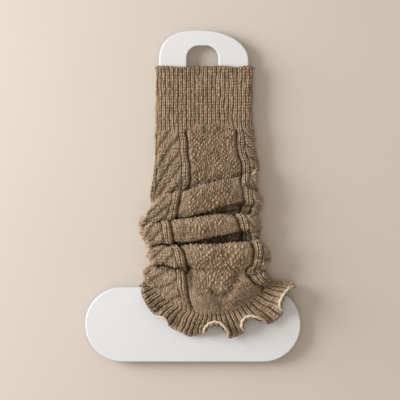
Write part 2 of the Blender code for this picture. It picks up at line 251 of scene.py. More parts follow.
def levelRing(shares, y):
    flat = np.ones(len(shares))
    front = lambda u: (y * flat, shapeSet["frontBase"] * flat)
    back = lambda u: (y * flat, 0.0 * flat)
    return clothRing(shares, (y, y), front, back)


def bodyRing(shares, share):
    edge = np.array(rolls[0]["edge"])
    line = shapeSet["ribBottom"] + (edge - shapeSet["ribBottom"]) * share
    rise = shapeSet["bodyRise"] * math.sin(math.pi * share) ** 2
    front = lambda u: (across(line, u), shapeSet["frontBase"] + rise * (1.0 - u * u))
    back = lambda u: (line[0] + (line[-1] - line[0]) * (u + 1.0) / 2.0, np.zeros(len(u)))
    return clothRing(shares, (line[0], line[-1]), front, back)


def hemLine(u, drop):
    return shapeSet["hemSide"] - drop * (1.0 - np.abs(u) ** shapeSet["hemRoundness"])


def stepsOf(number):
    return lastRollSteps if number == len(rolls) - 1 else rollSteps


def rollRing(shares, number, step):
    roll = rolls[number]
    last = number == len(rolls) - 1
    lower = roll if last else rolls[number + 1]
    place, rise, tuck, gap = stepsOf(number)[step]
    share = step / len(stepsOf(number))
    falls = last and step >= shapeSet["foldRings"]

    def nextEdge(u):
        return hemLine(u, shapeSet["hemDropFront"]) if last else across(lower["edge"], u)

    def front(u):
        edge = across(roll["edge"], u)
        foot = across(roll["foot"], u)
        even = edge + (nextEdge(u) - edge) * share
        rolled = edge + (foot - edge) * place - roll["tuck"] * tuck + (nextEdge(u) - foot) * gap
        crease = across(roll["crease"], u) * (1.0 - share) + across(lower["crease"], u) * share
        crease = crease * (1.0 - smoothStep(np.abs(u), shapeSet["foldEnds"], 1.0))
        height = across(roll["rise"], u) * (1.0 - share) + across(lower["rise"], u) * share
        low = rise if falls else 1.0
        return even + (rolled - even) * crease, shapeSet["frontBase"] + height * (low + (rise - low) * crease)

    def back(u):
        groove = np.full(len(u), shapeSet["backGroove"] * sunk)
        return sides[0] + (sides[1] - sides[0]) * (u + 1.0) / 2.0, groove

    ends = nextEdge(np.array((-1.0, 1.0)))
    starts = (roll["edge"][0], roll["edge"][-1])
    sides = [here + (end - here) * share for here, end in zip(starts, ends)]
    sunk = 0.0 if falls else max(0.0, 1.0 - rise / shapeSet["recessBelow"])
    return clothRing(shares, sides, front, back, sunk)


def hemRing(shares):
    flat = np.ones(len(shares))
    side = shapeSet["hemSide"]
    front = lambda u: (hemLine(u, shapeSet["hemDropFront"]), shapeSet["frontBase"] * flat)
    back = lambda u: (hemLine(u, shapeSet["hemDropBack"]), 0.0 * flat)
    return clothRing(shares, (side, side), front, back)


def throughRings(rings):
    # a smooth cloth lengthwise through the rings, its rows of points evenly spaced on the front
    rings = np.array(rings)
    front = slice(int(rings.shape[1] * 0.1), int(rings.shape[1] * 0.4))
    steps = np.linalg.norm(np.diff(rings[:, front], axis=0), axis=2).mean(axis=1)
    places = np.concatenate([[0.0], np.cumsum(steps)])
    count = int(round(places[-1] / knitSet["rowPitch"] * knitSet["rowSamples"]))
    at = np.linspace(0.0, places[-1], count)
    slopes = np.gradient(rings, places, axis=0)
    row = np.clip(np.searchsorted(places, at) - 1, 0, len(places) - 2)
    gap = (places[row + 1] - places[row])[:, None, None]
    along = ((at - places[row]) / (places[row + 1] - places[row]))[:, None, None]
    grid = bendBetween(rings[row], rings[row + 1], slopes[row], slopes[row + 1], gap, along)
    return grid, at, places


def surfaceNormals(rings):
    along = np.gradient(rings, axis=0)
    around = np.roll(rings, -1, axis=1) - np.roll(rings, 1, axis=1)
    normals = np.cross(along, around)
    return normals / np.maximum(np.linalg.norm(normals, axis=2, keepdims=True), 1e-9)


def drawInSides(grid, normals, share):
    outward = normals[:, :, 0]
    grid[:, :, 0] -= knitSet["sideInset"] * np.sign(outward) * smoothStep(np.abs(outward), 0.35, 1.0) * share


def softField(shape, size, seed):
    # gentle random lumps, size in points each way, about -1 to 1
    rough = np.random.default_rng(seed).normal(size=shape)
    wavesDown = np.fft.fftfreq(shape[0])[:, None] * size[0]
    wavesRound = np.fft.fftfreq(shape[1])[None, :] * size[1]
    soft = np.fft.ifft2(np.fft.fft2(rough) * np.exp(-4.0 * (wavesDown ** 2 + wavesRound ** 2))).real
    return soft / (2.0 * soft.std())


# Each stitch below gives a number, 0 between its strands to about 1 on top of them. Its look says how that
# becomes relief over the smooth cloth, in millimetres, and painted shade: darker between strands, lighter on
# top.

stitchLooks = {  # relief for each 1 of the stitch, its level, then the same for the painted shade
    "purl": (1.0, -0.5, 1.5, -0.08),
    "hem": (1.2, -0.5, 1.3, -0.02),
    "corner": (1.3, -0.4, 1.2, 0.0),
}
stitchTable = np.random.default_rng(3).uniform(-1.0, 1.0, size=(400, 400))


def stitchLook(stitch, kind):
    relief, level, tone, toneLevel = stitchLooks[kind]
    return relief * stitch + level, tone * stitch + toneLevel


def layOver(under, over, share):
    # one look gives way to another where share is 1
    return tuple(low + (high - low) * share for low, high in zip(under, over))


def fraction(value):
    return value - np.floor(value)


def eachStitch(stitch, row, seed):
    # one random number for each stitch, -1 to 1
    down = (np.floor(row).astype(int) + 37 * seed) % 400
    along = (np.floor(stitch).astype(int) + 91 * seed) % 400
    return stitchTable[down, along]


def knitStitch(stitch, row):
    out = np.abs(2.0 * fraction(stitch) - 1.0)
    strand = np.clip(1.0 - np.abs(out - 0.42) ** 2 / 0.34, 0.0, 1.0) - 0.3 * np.exp(-(out / 0.16) ** 2)
    link = 0.5 - 0.5 * np.cos(2.0 * math.pi * (row + 0.6 * out))
    uneven = 1.0 + 0.42 * eachStitch(2.0 * stitch, row + 0.6 * out, 1)
    return strand * (0.35 + 0.65 * link) * uneven


def purlStitch(stitch, row):
    wave = 0.22 * np.cos(2.0 * math.pi * stitch)
    bar = 0.5 + 0.5 * np.cos(2.0 * math.pi * (row + wave))
    loop = 0.15 + 0.7 * bar * (0.65 - 0.35 * np.cos(2.0 * math.pi * stitch))
    return loop * (1.0 + 0.5 * eachStitch(stitch, row + wave, 3))


def mossStitch(stitch, row):
    # slanting beads on every other stitch, small ones between them
    other = (np.floor(stitch) + np.floor(row)) % 2.0
    uneven = eachStitch(stitch, row, 2)
    lean = eachStitch(stitch, row, 13)
    aside = fraction(stitch) - 0.5 - 0.22 * uneven
    slanted = fraction(row) - 0.5 + (0.6 + 0.5 * lean) * aside
    bead = np.exp(-(aside / (0.38 + 0.06 * lean)) ** 2 - (slanted / 0.56) ** 2)
    return (other * (0.82 + 0.5 * uneven) + (1.0 - other) * (0.32 + 0.3 * lean)) * bead


def ribHeight(stitch, row):
    # one knit, one purl: a column of stitches and a gap; gives relief and painted shade, darkest in the gap
    rib = stitch / 2.0 + 0.5
    knit = knitStitch(rib, row * knitSet["bigRow"])
    gap = np.exp(-((0.5 - np.abs(fraction(rib) - 0.5)) / 0.13) ** 2)
    return 1.2 * knit - 1.1 * gap, 1.05 * knit * (1.0 - 0.6 * gap) + 0.1 - 0.24 * gap


def frillRibs(rib, row):
    # wide ribs with a valley between them, counted round the whole edge; gives relief and painted shade,
    # darker in the valleys
    uneven = eachStitch(rib + 0.5, 0.0 * row, 5)
    valley = np.exp(-((fraction(rib) - 0.5) / (0.16 + 0.05 * uneven)) ** 2)
    knit = knitStitch(rib + 0.5, row * knitSet["bigRow"] + 0.0 * rib)
    height = (0.5 - 1.3 * valley) * (1.0 + 0.5 * uneven) + 1.5 * knit * (1.0 - valley)
    return height, 1.3 * knit * (1.0 - 0.7 * valley) - 0.02 - 0.2 * valley


def panelPlace(stitch):
    # signed stitches from the middle of the nearer panel, front or back
    half = knitSet["stitchesRound"] / 2.0
    return (stitch - knitSet["frontPanel"] + half / 2.0) % half - half / 2.0


diamonds = (  # first row, last row, half width in stitches
    (0.4, 29.8, 10.3),
    (29.8, 48.6, 8.0),
    (48.6, 65.6, 6.4),
    (66.4, 100.5, 8.4),
)
diamondSet = {
    "opens": 3.0,           # stitches that it widens by in a row at its top
    "closes": 1.6,          # and narrows by below
    "cornersLast": 0.4,     # plain corners fill beside this last share of its rows
    "cornersFrom": 3.0,     # from this many stitches off its middle
    "hemRows": (88.0, 96.0),  # rows over which the leg turns to plain stitches
}


def diamondShares(off, row):
    # where the moss diamonds are, and the plain corners below them
    inDiamond = np.zeros_like(off + row)
    lowCorner = np.zeros_like(off + row)
    for first, last, wide in diamonds:
        widens = diamondSet["opens"] * (row - first)
        narrows = diamondSet["closes"] * (last - row)
        grows = np.clip(np.minimum(widens, narrows), -2.0, wide)
        inDiamond = np.maximum(inDiamond, smoothStep(grows - off, -0.3, 0.3))
        starts = last - diamondSet["cornersLast"] * (last - first)
        beside = smoothStep(off, diamondSet["cornersFrom"], diamondSet["cornersFrom"] + 0.5)
        lowCorner = np.maximum(lowCorner, smoothStep(row, starts, starts + 1.0) * (row < last) * beside)
    return inDiamond, lowCorner


def panelLook(stitch, row, off, moss):
    # purl ground with moss diamonds, turning to plain stitches at the hem
    knit = knitStitch(stitch, row)
    look = stitchLook(purlStitch(stitch, row), "purl")
    loose = knitStitch(0.8 * stitch, row * 0.9)
    look = layOver(look, stitchLook(loose, "hem"), smoothStep(row, *diamondSet["hemRows"]))
    inDiamond, lowCorner = diamondShares(off, row)
    look = layOver(look, stitchLook(knit, "corner"), lowCorner)
    return layOver(look, (1.5 * moss - 0.1, 1.2 * moss + 0.5 * knit - 0.18), inDiamond)


def cableLook(stitch, row):
    # ropes that slant away from the panel on both sides
    around = knitSet["stitchesRound"]
    fromFront = (stitch - knitSet["frontPanel"] + around / 2.0) % around - around / 2.0
    side = np.sign(fromFront)
    fromLine = np.abs(fromFront) - knitSet["halfPanel"] - knitSet["lineStitches"]
    block = (row - knitSet["cableSlope"] * fromLine) / knitSet["cableRows"]
    turn = fraction(block)
    rising = np.sin(turn / 0.72 * math.pi / 2.0)
    falling = np.cos((turn - 0.72) / 0.28 * math.pi / 2.0)
    rope = np.where(turn < 0.72, rising, falling)
    rope = rope * (1.0 + 0.25 * eachStitch(fromLine / 8.0, block, 7))
    drift = side * 2.6 * (turn - 0.5)
    drifted = knitStitch(knitSet["bigStitch"] * (stitch - drift), row * knitSet["bigRow"])
    between = np.exp(-(np.minimum(turn, 1.0 - turn) / 0.11) ** 2)
    between = between * (1.0 + 0.4 * eachStitch(fromLine / 2.0, block, 11))
    # painted shade between the ropes
    height = 1.4 * rope + 2.1 * drifted - 1.1 - 0.4 * between
    return height, 1.8 * drifted * (0.7 + 0.3 * rope) + 0.15 - 0.15 * between


def legHeight(stitch, row, moss):
    # relief and painted shade of the whole leg: panels, raised lines and cables
    half = knitSet["halfPanel"]
    lines = knitSet["lineStitches"]
    off = np.abs(panelPlace(stitch))
    look = panelLook(stitch, row, off, moss)
    strap = (off - half) / lines * knitSet["lineWales"]
    wales = knitStitch(strap, row * knitSet["bigRow"])
    rim = (np.abs(fraction(strap) - 0.5) * 2.0) ** 6
    # painted shade on the rims between the line's wales
    line = (0.6 + 1.6 * wales - 1.0 * rim, 1.3 * wales + 0.02 - 0.5 * rim)
    look = layOver(look, line, smoothStep(off, half + 0.1, half + 0.5))
    pastLine = smoothStep(off, half + lines - 0.15, half + lines + 0.35)
    height, shade = layOver(look, cableLook(stitch, row), pastLine)
    # the groove beside each panel and the edge beside each line sink in and get painted shade
    groove = np.exp(-((off - half - 0.05) / 0.6) ** 2)
    beside = np.exp(-((off - half - lines) / 0.4) ** 2)
    return height - 1.9 * groove - 0.9 * beside, shade * (1.0 - 0.8 * groove - 0.5 * beside) - 0.4 * groove


def foldShade(grid):
    # how far each point lies under the cloth before and after it, 0 in the open to 1 deep in folds; it sets
    # the yarn's painted shade there
    height, place = grid[:, :, 2], grid[:, :, 1]
    deep = np.zeros_like(height)
    for step in range(2, 46, 2):
        for way in (-step, step):
            over = np.roll(height, way, axis=0) - height - 0.75 * np.abs(np.roll(place, way, axis=0) - place)
            if way > 0:
                over[:step] = 0.0
            else:
                over[way:] = 0.0
            deep = np.maximum(deep, over)
    return np.clip(deep / 8.0, 0.0, 1.0)


def pressFlat(height):
    # the surface below flattens what would stand out under it, almost to nothing
    flat = shapeSet["pressed"]
    left = np.maximum(flat + shapeSet["pressedShare"] * (height - flat), shapeSet["lowest"])
    return np.where(height < flat, left, height)


def finishPiece(name, points, quads, triangles, place, toneAndShade, paintedShade, material):
    # the mesh, and on it stitch and row for the yarn, the painted shade and random tone of each point, and
    # its painted shade in folds
    mesh = bpy.data.meshes.new(name)
    mesh.vertices.add(len(points))
    mesh.vertices.foreach_set("co", (points * mm).astype(np.float32).ravel())
    corners = np.concatenate([quads.ravel(), triangles.ravel()])
    mesh.loops.add(len(corners))
    mesh.loops.foreach_set("vertex_index", corners.astype(np.int32))
    mesh.polygons.add(len(quads) + len(triangles))
    starts = np.concatenate([np.arange(len(quads)) * 4, len(quads) * 4 + np.arange(len(triangles)) * 3])
    mesh.polygons.foreach_set("loop_start", starts.astype(np.int32))
    smooth = np.concatenate([np.ones(len(quads), bool), np.zeros(len(triangles), bool)])
    mesh.polygons.foreach_set("use_smooth", smooth)
    mesh.update(calc_edges=True)
    for kind, style, domain, field, values in (
        ("stitchPlace", "FLOAT_VECTOR", "CORNER", "vector", place),
        ("toneAndShade", "FLOAT", "POINT", "value", toneAndShade),
        ("paintedShade", "FLOAT", "POINT", "value", paintedShade),
    ):
        made = mesh.attributes.new(kind, style, domain)
        made.data.foreach_set(field, values.astype(np.float32).ravel())
    mesh.validate()
    mesh.materials.append(material)
    piece = bpy.data.objects.new(name, mesh)
    bpy.context.scene.collection.objects.link(piece)
    print(name, "triangles", len(quads) * 2 + len(triangles))
    return piece


def ringQuads(rows, steps):
    # a face between each two rings and two neighbours, the last joined to the first
    ring, here = np.meshgrid(np.arange(rows - 1), np.arange(steps), indexing="ij")
    beside = (here + 1) % steps
    above, below = ring * steps, (ring + 1) * steps
    quads = np.stack([above + here, below + here, below + beside, above + beside], axis=2)
    return ring, here, quads.reshape(-1, 4)


def rimTriangles(steps, few, outerStart, innerStart, top):
    # joins a rim's fine outer ring to its inner ring, which may have fewer points
    fineEach = steps // few
    half = (fineEach + 1) // 2
    rim = []
    for inner in range(few):
        here = innerStart + inner
        there = innerStart + (inner + 1) % few
        fine = [outerStart + (inner * fineEach + step) % steps for step in range(fineEach + 1)]
        for step in range(fineEach):
            rim.append((fine[step], fine[step + 1], here if step < half else there))
        rim.append((fine[half], there, here))
    return rim if top else [(second, first, third) for first, second, third in rim]


def knitPiece(name, grid, normals, height, shade, paintedShade, stitch, row, wall, material, fineInside=False):
    # a closed thin shell: the stitched face, an inner face and the two rims
    rows, steps = grid.shape[:2]
    coarse = 1 if fineInside else knitSet["samples"]
    innerCount = rows if fineInside else max(3, rows // knitSet["innerRows"])
    innerRows = np.linspace(0, rows - 1, innerCount).round().astype(int)
    height = np.maximum(height, -knitSet["deepest"])
    outer = grid + normals * height[:, :, None]
    lift = np.maximum(height if fineInside else np.minimum(height, 0.0), -knitSet["innerDeepest"])
    inner = (grid + normals * (lift - wall)[:, :, None])[innerRows][:, ::coarse]
    points = np.concatenate([outer.reshape(-1, 3), inner.reshape(-1, 3)])
    points[:, 2] = pressFlat(points[:, 2])
    base = rows * steps
    few = steps // coarse
    ring, here, outerQuads = ringQuads(rows, steps)
    innerQuads = base + ringQuads(innerCount, few)[2][:, ::-1]
    topRim = rimTriangles(steps, few, 0, base, True)
    lowRim = rimTriangles(steps, few, (rows - 1) * steps, base + (innerCount - 1) * few, False)
    quads = np.concatenate([outerQuads, innerQuads])
    triangles = np.array(topRim + lowRim)
    ahead = stitch[here] + 1.0 / knitSet["samples"]
    outerPlace = np.stack([
        np.stack([stitch[here], row[ring]], axis=2),
        np.stack([stitch[here], row[ring + 1]], axis=2),
        np.stack([ahead, row[ring + 1]], axis=2),
        np.stack([ahead, row[ring]], axis=2),
    ], axis=2)
    innerCorners = np.concatenate([innerQuads.ravel(), triangles.ravel()])
    place = np.zeros((quads.size + triangles.size, 3))
    place[:outerQuads.size, :2] = outerPlace.reshape(-1, 2)
    place[outerQuads.size:, :2] = points[innerCorners, :2] / knitSet["rowPitch"]
    inside = np.zeros(len(points) - base)
    toneAndShade = np.concatenate([shade.ravel(), inside + 0.2])
    shadeInFold = np.concatenate([paintedShade.ravel(), inside])
    return finishPiece(name, points, quads, triangles, place, toneAndShade, shadeInFold, material)


class Wire:
    def __init__(self, tree, socket=None):
        self.tree = tree
        self.socket = socket

    def node(self, kind, settings, inputs, output=0):
        made = self.tree.nodes.new(kind)
        for name, value in settings.items():
            setattr(made, name, value)
        for key, value in inputs.items():
            if isinstance(value, Wire):
                self.tree.links.new(value.socket, made.inputs[key])
            else:
                made.inputs[key].default_value = value
        return Wire(self.tree, made.outputs[output])

    def maths(self, operation, first, second):
        return self.node("ShaderNodeMath", {"operation": operation}, {0: first, 1: second})

    def __add__(self, other):
        return self.maths("ADD", self, other)

    __radd__ = __add__

    def __mul__(self, other):
        return self.maths("MULTIPLY", self, other)

    __rmul__ = __mul__

    def __sub__(self, other):
        return self.maths("SUBTRACT", self, other)

    def __rsub__(self, other):
        return self.maths("SUBTRACT", other, self)

    def wave(self):
        return self.maths("SINE", self, 0.0)

    def between(self, low, high):
        return self.node("ShaderNodeMapRange", {"clamp": True}, {0: self, 1: low, 2: high, 3: 0.0, 4: 1.0})


def newMaterial(name, roughness):
    made = bpy.data.materials.new(name)
    made.use_nodes = True
    shader = made.node_tree.nodes["Principled BSDF"]
    shader.inputs["Roughness"].default_value = roughness
    return made, shader, Wire(made.node_tree)


def noiseOf(wire, place, scale, detail, rough=0.5):
    inputs = {"Vector": place, "Scale": scale, "Detail": detail, "Roughness": rough}
    return wire.node("ShaderNodeTexNoise", {}, inputs)


def mixColour(wire, share, first, second):
    return wire.node("ShaderNodeMix", {"data_type": "RGBA"}, {0: share, 6: first, 7: second}, 2)


def rgba(colour):
    return (*colour, 1.0)


yarnSet = {
    "roughness": 0.92,
    "plyWaves": (22.0, 16.0),   # twist of the plies, along the stitches and down the rows
    "heather": 300.0,       # noise scales of the yarn's flecks, its single fibres and its wide clouds
    "fibre": 1400.0,
    "cloud": 28.0,
    "heatherShade": 1.3,    # how much each of them changes the shade; the plies' waves are painted shade of their twist
    "fibreShade": 0.7,
    "cloudShade": 0.25,
    "plyShade": 0.06,
    "relief": 0.0005,       # of plies and fibres, in metres
    "sheen": 0.25,
    "sheenTint": (1.0, 0.9, 0.78),
}
# dark and pale are the yarn under painted shade between its strands and painted highlight on them, as well as
# its own flecks; the last colour is painted shade deep in folds
woolSet = {
    "dark": (0.085, 0.050, 0.025),
    "body": (0.340, 0.236, 0.146),
    "pale": (0.550, 0.425, 0.300),
    "foldShadow": (0.016, 0.009, 0.004),
}
# the cream yarn, with the same painted shade, highlight and shade in folds
creamSet = {
    "dark": (0.36, 0.26, 0.17),
    "body": (0.66, 0.53, 0.40),
    "pale": (0.80, 0.70, 0.57),
    "foldShadow": (0.2, 0.15, 0.1),
}


def woolMaterial(name, colours):
    made, shader, wire = newMaterial(name, yarnSet["roughness"])
    place = wire.node("ShaderNodeTexCoord", {}, {}, "Object")
    stitch = wire.node("ShaderNodeAttribute", {"attribute_name": "stitchPlace"}, {}, "Vector")
    toneAndShade = wire.node("ShaderNodeAttribute", {"attribute_name": "toneAndShade"}, {}, "Fac")
    paintedShade = wire.node("ShaderNodeAttribute", {"attribute_name": "paintedShade"}, {}, "Fac")
    along = wire.node("ShaderNodeSeparateXYZ", {}, {0: stitch}, 0)
    down = wire.node("ShaderNodeSeparateXYZ", {}, {0: stitch}, 1)
    ply = (along * yarnSet["plyWaves"][0] + down * yarnSet["plyWaves"][1]).wave() * 0.5 + 0.5
    heather = noiseOf(wire, place, yarnSet["heather"], 3.0, 0.6)
    fibre = noiseOf(wire, place, yarnSet["fibre"], 3.0, 0.65)
    cloud = noiseOf(wire, place, yarnSet["cloud"], 2.0)
    flecks = (heather - 0.5) * yarnSet["heatherShade"] + (fibre - 0.5) * yarnSet["fibreShade"]
    soft = (cloud - 0.5) * yarnSet["cloudShade"] + ply * yarnSet["plyShade"]
    # painted shade and highlight of the stitches' relief and the plies, with the yarn's own random flecks and
    # clouds
    shade = toneAndShade * 0.95 + 0.03 + flecks + soft
    low = mixColour(wire, shade.between(-0.15, 0.5), rgba(colours["dark"]), rgba(colours["body"]))
    colour = mixColour(wire, shade.between(0.55, 1.25), low, rgba(colours["pale"]))
    shadeInFold = paintedShade * (shade * -0.5 + 1.05)   # raised stitches still catch some light in folds, so get less of their painted shade
    # painted shade of folds: near black deep in them
    colour = mixColour(wire, shadeInFold.between(0.0, 1.08), colour, rgba(colours["foldShadow"]))
    relief = ply * 0.35 + fibre * 0.8 + heather * 0.3
    bumpInputs = {"Strength": 0.75, "Distance": yarnSet["relief"], "Height": relief}
    bump = wire.node("ShaderNodeBump", {}, bumpInputs)
    made.node_tree.links.new(colour.socket, shader.inputs["Base Color"])
    made.node_tree.links.new(bump.socket, shader.inputs["Normal"])
    shader.inputs["Sheen Weight"].default_value = yarnSet["sheen"]
    shader.inputs["Sheen Roughness"].default_value = 0.6
    shader.inputs["Sheen Tint"].default_value = rgba(yarnSet["sheenTint"])
    shader.inputs["Specular IOR Level"].default_value = 0.15
    return made


boardSet = {
    "colour": (0.855, 0.88, 0.905),
    "shade": (0.825, 0.85, 0.875),
    "edgeShade": (0.50, 0.51, 0.52),  # painted shade on the sheet's cut and rounded edge, so it catches less light than its face
    "edgeStarts": (0.04, 0.35),     # how far a face leans when the edge's painted shade starts, and is full
    "roughness": 0.46,
    "grain": 900.0,
    "cloud": 14.0,
    "relief": 0.0002,
}


def boardMaterial():
    made, shader, wire = newMaterial("foamBoard", boardSet["roughness"])
    place = wire.node("ShaderNodeTexCoord", {}, {}, "Object")
    grain = noiseOf(wire, place, boardSet["grain"], 4.0, 0.6)
    cloud = noiseOf(wire, place, boardSet["cloud"], 3.0)
    colour = mixColour(wire, cloud.between(0.3, 0.7), rgba(boardSet["shade"]), rgba(boardSet["colour"]))
    facing = wire.node("ShaderNodeSeparateXYZ", {}, {0: wire.node("ShaderNodeTexCoord", {}, {}, "Normal")}, 2)
    # faces that lean off the top get painted shade
    edgeShadeShare = (1.0 - facing).between(*boardSet["edgeStarts"])
    colour = mixColour(wire, edgeShadeShare, colour, rgba(boardSet["edgeShade"]))
    gloss = grain * 0.12 + (boardSet["roughness"] - 0.06)
    bumpInputs = {"Strength": 0.12, "Distance": boardSet["relief"], "Height": grain}
    bump = wire.node("ShaderNodeBump", {}, bumpInputs)
    made.node_tree.links.new(colour.socket, shader.inputs["Base Color"])
    made.node_tree.links.new(gloss.socket, shader.inputs["Roughness"])
    made.node_tree.links.new(bump.socket, shader.inputs["Normal"])
    return made


wool = woolMaterial("taupeWool", woolSet)
cream = woolMaterial("creamWool", creamSet)
foamBoard = boardMaterial()
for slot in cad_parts["display_board"].material_slots:
    slot.material = foamBoard
print("materials made")


frillSet = {
    "ribs": 68,
    "samples": 10,          # columns of points for each rib
    "rows": 46,
    "rowsLong": 12.0,       # rows of stitches from hem to edge
    "blend": 5.0,           # the leg's last millimetres take on the frill's ribs
    "tucked": -0.06,        # share of its width by which it starts under the hem
    "fanCentre": (23.3, -84.4),
    "fanTilt": 0.55,        # at the left side it hangs towards the foot
    "tiltFrom": (48.0, 74.0),  # so far left of the fan's centre it starts to, and does fully
    "backWidth": 20.0,
    "restCurl": 14.0,       # degrees that it turns up between the curls, on the back and at the sides
    "backCurl": 4.0,
    "sideCurl": 30.0,
    "rise": 0.6,            # soft, so it stands up to this share of a round curl
    "waver": (0.22, 0.3),   # how far its ribs and rows stray, in ribs and rows
    "lumps": 0.35,
    "shadeSpread": 0.2,
    "wall": 1.8,
}
frillWidths = np.array((  # angle round the fan in degrees, width of the frill
    (-20.0, 20.0), (10.0, 27.0), (20.0, 31.5), (34.0, 33.0), (50.0, 28.0), (64.0, 25.5),
    (76.0, 26.5), (92.0, 25.5), (102.0, 21.5), (113.0, 25.5), (131.0, 22.0), (146.0, 20.0),
    (158.0, 18.5), (165.0, 13.5), (172.0, 5.0), (200.0, 5.0),
))
curls = (  # angle, half width, how far it turns up, in degrees
    (19.5, 11.5, 84.0),
    (53.5, 10.5, 114.0),
    (88.5, 12.0, 132.0),
    (118.0, 7.0, 38.0),
    (137.0, 7.0, 58.0),
    (156.0, 8.0, 44.0),
)


def frillShape(shares, hem):
    # which way the frill leaves each point of the hem, how wide it is there and how far it turns up
    way = hem[:, :2] - np.array(frillSet["fanCentre"])
    way = way / np.linalg.norm(way, axis=1, keepdims=True)
    angle = np.degrees(np.arctan2(-way[:, 1], way[:, 0]))
    angle = np.where(angle < -90.0, angle + 360.0, angle)
    flat = fromSide(shares)
    tilt = smoothStep(frillSet["fanCentre"][0] - hem[:, 0], *frillSet["tiltFrom"])
    way[:, 1] -= frillSet["fanTilt"] * tilt * smoothStep(flat, 0.55, 1.0)
    way = way / np.linalg.norm(way, axis=1, keepdims=True)
    rest, atSide, atBack = frillSet["restCurl"], frillSet["sideCurl"], frillSet["backCurl"]
    width = smoothTable(angle, frillWidths[:, 0], frillWidths[:, 1])
    turn = rest + (atSide - rest) * (1.0 - flat) ** 2
    for middle, halfWidth, most in curls:
        near = np.sqrt(np.clip(1.0 - ((angle - middle) / halfWidth) ** 2, 0.0, 1.0))
        turn = np.maximum(turn, rest + (most - rest) * near)
    behind = shares > 1.0
    backWidth = width + (frillSet["backWidth"] - width) * smoothStep(flat, 0.4, 1.0)
    width = np.where(behind, backWidth, width)
    turn = np.where(behind, atBack + (atSide - atBack) * (1.0 - flat) ** 2, turn)
    return way, width, np.radians(turn)


def frillRing(hem, shape, reach):
    way, width, turn = shape
    out = width * np.sin(turn * reach) / turn
    up = frillSet["rise"] * width * (1.0 - np.cos(turn * reach)) / turn
    return hem + np.column_stack([way * out[:, None], up])


# the leg, from the band to the hem, in one grid that is cut into three pieces inside two folds

legSet = {
    "wander": 0.5,          # how far the stitches stray
    "lumps": (0.9, 0.4),    # wide and narrow lumps
    "shadeSpread": 0.18,
    "firstFold": 0.55,      # the first fold lies open, so it gets this much of the painted shade deep in the other folds
    "firstFoldRings": (5, 8),
    "cutRings": (3, 17),    # the pieces part at these rings
}
lineRows = np.array((  # ring of the leg, then u of the two raised lines
    (0, -0.39, 0.635),
    (1, -0.33, 0.66),
    (2, -0.265, 0.69),
    (3, -0.365, 0.675),
    (5, -0.37, 0.678),
    (9, -0.40, 0.678),
    (12, -0.487, 0.56),
    (16, -0.487, 0.69),
    (17, -0.49, 0.70),
    (19, -0.455, 0.717),
    (23, -0.33, 0.65),
    (27, -0.29, 0.72),
    (30, -0.28, 0.87),
))
creases = (  # from x, y to x, y, width and depth in millimetres, how much painted shade it gets
    (-37.0, -78.5, -3.0, -79.0, 2.2, 4.0, 0.9),
    (60.0, 11.5, 71.0, 6.5, 3.2, 3.0, 0.6),
    (52.0, -10.0, 72.0, -12.2, 2.2, 3.0, 0.9),
    (52.0, -17.0, 70.0, -18.5, 3.4, 2.5, 0.6),
    (55.0, -38.8, 76.0, -40.0, 2.2, 3.0, 0.9),
    (55.0, -44.5, 72.0, -47.5, 3.2, 2.5, 0.6),
    (63.0, -88.8, 81.0, -83.0, 2.2, 2.5, 0.7),
    (69.0, -68.0, 83.0, -70.0, 2.4, 2.0, 0.5),
    (52.0, -86.5, 36.5, -111.0, 4.6, 2.6, 0.25),
    (24.5, -105.0, 31.0, -122.0, 4.0, 2.0, 0.2),
    (-3.0, -76.0, -1.0, -100.0, 3.2, 1.6, 0.3),
)
stitches = np.arange(knitSet["stitchesRound"] * knitSet["samples"]) / knitSet["samples"]


def pressCreases(grid):
    # the creases listed above, pressed into the front; gives the painted shade in them
    dark = np.zeros(grid.shape[:2])
    front = smoothStep(grid[:, :, 2], shapeSet["sideLevel"] + 1.0, shapeSet["frontBase"])
    drop = np.zeros(grid.shape[:2])
    for fromX, fromY, toX, toY, width, depth, shade in creases:
        start = np.array((fromX, fromY))
        way = np.array((toX, toY)) - start
        share = np.clip((grid[:, :, :2] - start) @ way / (way @ way), 0.0, 1.0)
        away = np.linalg.norm(grid[:, :, :2] - start - share[:, :, None] * way, axis=2)
        near = np.exp(-(away / width) ** 2) * front
        drop = drop + depth * near
        dark = np.maximum(dark, shade * near)
    grid[:, :, 2] -= np.minimum(drop, np.maximum(grid[:, :, 2] - shapeSet["frontBase"], 0.0))
    return dark


def sharesAt(number):
    leftLine, rightLine = (float(np.interp(number, lineRows[:, 0], lineRows[:, side])) for side in (1, 2))
    return sharesFor(stitches, leftLine, rightLine)


def legRings():
    makers = [(bodyRing, (share,)) for share in shapeSet["bodyShares"]]
    for number in range(len(rolls)):
        makers += [(rollRing, (number, step)) for step in range(len(stepsOf(number)))]
    makers.append((hemRing, ()))
    return [make(sharesAt(number), *settings) for number, (make, settings) in enumerate(makers)]


legGrid, legAt, legPlaces = throughRings(legRings())
legRow = legAt / knitSet["rowPitch"]
legSize = legGrid.shape[:2]
offPanel = np.minimum(np.abs(panelPlace(stitches)) / knitSet["halfPanel"], 1.0)
fadeTop = smoothStep(legRow[:, None] - knitSet["panelArch"] * offPanel[None, :] ** 4, 0.0, 2.5)
legGrid[:, :, 0] += legSet["wander"] * softField(legSize, (14, 14), 21) * fadeTop
legGrid[:, :, 1] += legSet["wander"] * softField(legSize, (12, 16), 22) * fadeTop
creaseShade = pressCreases(legGrid)
legNormals = surfaceNormals(legGrid)
drawInSides(legGrid, legNormals, 1.0 - smoothStep(legAt, legAt[-1] - 25.0, legAt[-1])[:, None])
stitchAt = stitches[None, :] + knitSet["wobble"] * softField(legSize, (12, 20), 31)
rowAt = legRow[:, None] + knitSet["wobble"] * softField(legSize, (12, 20), 32)
mossAt = stitchAt + knitSet["mossWobble"] * softField(legSize, (16, 26), 38)
mossRow = rowAt + knitSet["mossWobble"] * softField(legSize, (16, 26), 39)
